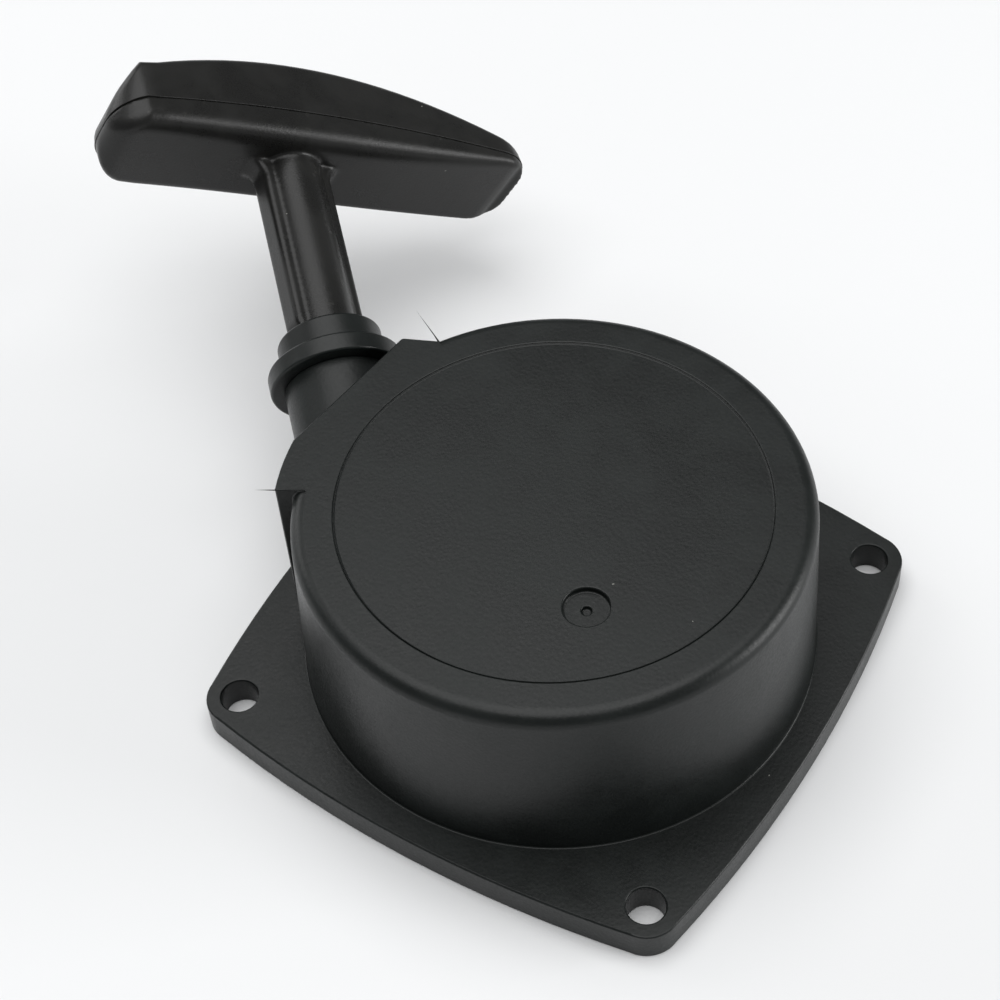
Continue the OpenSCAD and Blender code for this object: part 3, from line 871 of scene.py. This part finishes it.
class STARTER_OT_stage(bpy.types.Operator):
    """Set up the camera, the pale floor and the soft light"""
    bl_idname = "starter.stage"
    bl_label = "Stage"

    def execute(self, context):
        stage = context.scene.starter_stage
        self.camera(context, stage)
        self.floor(stage)
        self.lights(context)
        context.scene.view_settings.view_transform = "Standard"
        return {"FINISHED"}

    def camera(self, context, stage):
        """Places the camera by its turn, height and distance from the target."""
        turn = stage.azimuth
        lift = stage.elevation
        roll = stage.roll
        back = Vector((math.sin(turn) * math.cos(lift), -math.cos(turn) * math.cos(lift), math.sin(lift)))
        level = Vector((math.cos(turn), math.sin(turn), 0))
        above = back.cross(level)
        right = level * math.cos(roll) + above * math.sin(roll)
        up = above * math.cos(roll) - level * math.sin(roll)
        lens = bpy.data.cameras.new("Camera")
        lens.lens = stage.lens
        lens.sensor_width = 36
        lens.clip_start = 0.01
        lens.clip_end = 20
        view = bpy.data.objects.new("Camera", lens)
        context.scene.collection.objects.link(view)
        turned = Matrix((right, up, back)).transposed().to_4x4()
        turned.translation = Vector(stage.target) + back * stage.distance
        view.matrix_world = turned
        context.scene.camera = view

    def floor(self, stage):
        """Lays a flat floor of pale paper with a slow change of tone."""
        reach = 1.6
        corners = [(-reach, -reach, 0), (reach, -reach, 0), (reach, reach, 0), (-reach, reach, 0)]
        table = mesh_piece("floor", corners, [(0, 1, 2, 3)])
        made, tree, shader = new_material("Paper floor")
        place = object_place(tree)
        slow = noise(tree, place, scale=3.0, detail=3.0, rough=0.5)
        tone = ramp(tree, slow, low=0.3, high=0.7)
        base = mix_colour(tree, tone, toned(stage.paper, 0.985), stage.paper)
        link(tree, base, shader.inputs["Base Color"])
        fine = noise(tree, place, scale=400.0)
        link(tree, ramp(tree, fine, low=0.3, high=0.7, bottom=0.8, top=0.9), shader.inputs["Roughness"])
        shader.inputs["Specular IOR Level"].default_value = 0.2
        table.data.materials.append(made)

    def lights(self, context):
        """Sets a weak even sky, a wide lamp overhead and a panel on each side."""
        world = bpy.data.worlds.new("Studio")
        world.use_nodes = True
        context.scene.world = world
        sky = world.node_tree.nodes["Background"]
        sky.inputs["Color"].default_value = (0.97, 0.985, 1.0, 1)
        sky.inputs["Strength"].default_value = 0.22
        # Name, place, size and power of each lamp.
        lamps = (
            ("Overhead", (-0.1, 0.0, 1.1), 1.3, 13.8),
            ("Left panel", (-1.0, 0.1, 0.40), 0.6, 2.4),
            ("Right panel", (1.0, 0.5, 0.30), 0.6, 8.0),
        )
        for name, place, size, power in lamps:
            lamp = bpy.data.lights.new(name, "AREA")
            lamp.shape = "SQUARE"
            lamp.size = size
            lamp.energy = power
            shown = bpy.data.objects.new(name, lamp)
            shown.location = place
            shown.rotation_mode = "QUATERNION"
            shown.rotation_quaternion = (-Vector(place)).to_track_quat("-Z", "Y")
            context.scene.collection.objects.link(shown)


class STARTER_OT_housing(bpy.types.Operator):
    """Finish the moulded cup and the pressed-in rope guide"""
    bl_idname = "starter.housing"
    bl_label = "Housing and rope guide"

    def execute(self, context):
        colours = context.scene.starter_finish
        cup = moulded_black("Moulded cup", colours.moulding, rough=0.38, grain=0.34 * MM, depth=0.016 * MM)
        guide = moulded_black(
            "Moulded guide", colours.moulding, rough=0.36, grain=0.3 * MM, depth=0.008 * MM, rub=0.6)
        finish_cad_node("housing", cup, edge=0.28 * MM)
        finish_cad_node("rope_guide", guide, edge=0.45 * MM)
        return {"FINISHED"}


class STARTER_OT_grip(bpy.types.Operator):
    """Build the grip's body with its stem, and the cap over it"""
    bl_idname = "starter.grip"
    bl_label = "Grip"

    def execute(self, context):
        shape = GripShape(context.scene.starter_grip)
        colour = context.scene.starter_finish.grip
        finish = moulded_black(
            "Moulded grip", colour, rough=0.33, grain=0.26 * MM, depth=0.010 * MM, rub=0.7, lint=0.16)
        voxel = 0.3 * MM
        parts = [grip_bar(shape, "bar", cap=False), grip_stem(shape)]
        parts += [grip_web(shape, side) for side in (1, -1)]
        body = fuse(parts, "grip_body", voxel, smoothing=6)
        cap = grip_bar(shape, "grip_cap", cap=True)
        mend_normals(cap.data)
        shade_all_smooth(cap.data)
        for piece, replaced in ((body, "handle_body"), (cap, "handle_cap")):
            piece.data.materials.clear()
            piece.data.materials.append(finish)
            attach(piece, "handle")
            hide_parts(replaced)
        return {"FINISHED"}


class STARTER_OT_rope(bpy.types.Operator):
    """Braid the rope: the length that is drawn out, the turns on the reel and the knots"""
    bl_idname = "starter.rope"
    bl_label = "Rope"

    def execute(self, context):
        colour = list(context.scene.starter_finish.rope)
        wound = wound_rope(colour)
        for name in ("rope_winding", "rope_lead", "reel_knot", "handle_knot"):
            finish_cad_node(name, wound)
        # Measured along the pull line from the rope's start.
        inside = 34 * MM
        lap = 1 * MM
        piece = grown("drawn_rope", rope_sweep(), {
            "Start": ROPE_START + PULL * inside,
            "End": SWIVEL + PULL * lap,
            "Radius": 1.6 * MM,
            "Rings": 420,
            "Sides": 24,
            "Finish": drawn_rope(colour),
        })
        shade_all_smooth(piece.data)
        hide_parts("handle_rope")
        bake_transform(piece)
        return {"FINISHED"}


class STARTER_OT_reel(bpy.types.Operator):
    """Finish the reel, its bush and the spring chamber's cover"""
    bl_idname = "starter.reel"
    bl_label = "Reel and cover"

    def execute(self, context):
        colours = context.scene.starter_finish
        nylon = moulded_black(
            "Reel nylon", colours.nylon, rough=0.46, grain=0.4 * MM, depth=0.02 * MM, rub=0.5, lint=0.0)
        zinc = zinc_plate(colours.zinc)
        finish_cad_node("reel", nylon, edge=0.25 * MM)
        finish_cad_node("reel_bush", zinc)
        finish_cad_node("spring_cover", zinc, edge=0.15 * MM)
        finish_cad_node("knot_washer", zinc)
        return {"FINISHED"}


class STARTER_OT_springs(bpy.types.Operator):
    """Finish the recoil spring, the pawl springs, the clips and the friction spring"""
    bl_idname = "starter.springs"
    bl_label = "Springs"

    def execute(self, context):
        colours = context.scene.starter_finish
        steel = worked_steel(
            "Spring steel", list(colours.spring), rough=0.28, stretch=30.0, stain=(0.16, 0.12, 0.08))
        for name in ("recoil_spring", "pawl_spring_a", "pawl_spring_b", "friction_spring", "pawl_clips"):
            finish_cad_node(name, steel)
        return {"FINISHED"}


class STARTER_OT_catch(bpy.types.Operator):
    """Finish the pawls, their pins, the guide plate and the centre screw"""
    bl_idname = "starter.catch"
    bl_label = "Pawls and centre screw"

    def execute(self, context):
        colours = context.scene.starter_finish
        zinc = zinc_plate(colours.zinc)
        sintered = toned(colours.zinc, 0.62)
        pawl = worked_steel("Sintered pawl", sintered, rough=0.42, stretch=3.0, stain=(0.22, 0.2, 0.16))
        for name in ("pawl_a", "pawl_b"):
            finish_cad_node(name, pawl, edge=0.22 * MM)
        for name in ("pawl_pins", "guide_plate", "center_washer", "center_screw"):
            finish_cad_node(name, zinc, edge=0.15 * MM)
        return {"FINISHED"}


OPERATORS = (STARTER_OT_stage, STARTER_OT_housing, STARTER_OT_grip, STARTER_OT_rope, STARTER_OT_reel,
             STARTER_OT_springs, STARTER_OT_catch)


class STARTER_PT_panel(bpy.types.Panel):
    """Sidebar panel with every step and the sizes that it uses"""
    bl_idname = "STARTER_PT_panel"
    bl_label = "Recoil Starter"
    bl_space_type = "VIEW_3D"
    bl_region_type = "UI"
    bl_category = "Recoil Starter"

    def draw(self, context):
        for operator in OPERATORS:
            self.layout.operator(operator.bl_idname)
        scene = context.scene
        for group in (scene.starter_stage, scene.starter_grip, scene.starter_finish):
            box = self.layout.box()
            for key in group.bl_rna.properties.keys():
                if key not in ("rna_type", "name"):
                    box.prop(group, key)


SETTINGS = {
    "starter_stage": StarterStageSettings,
    "starter_finish": StarterFinishSettings,
    "starter_grip": StarterGripSettings,
}


def register():
    for kind in (*SETTINGS.values(), *OPERATORS, STARTER_PT_panel):
        bpy.utils.register_class(kind)
    for name, kind in SETTINGS.items():
        setattr(bpy.types.Scene, name, bpy.props.PointerProperty(type=kind))


def unregister():
    for name in SETTINGS:
        delattr(bpy.types.Scene, name)
    for kind in reversed((*SETTINGS.values(), *OPERATORS, STARTER_PT_panel)):
        bpy.utils.unregister_class(kind)


def main():
    register()
    for operator in OPERATORS:
        group, name = operator.bl_idname.split(".")
        getattr(getattr(bpy.ops, group), name)()


if __name__ == "__main__":
    main()
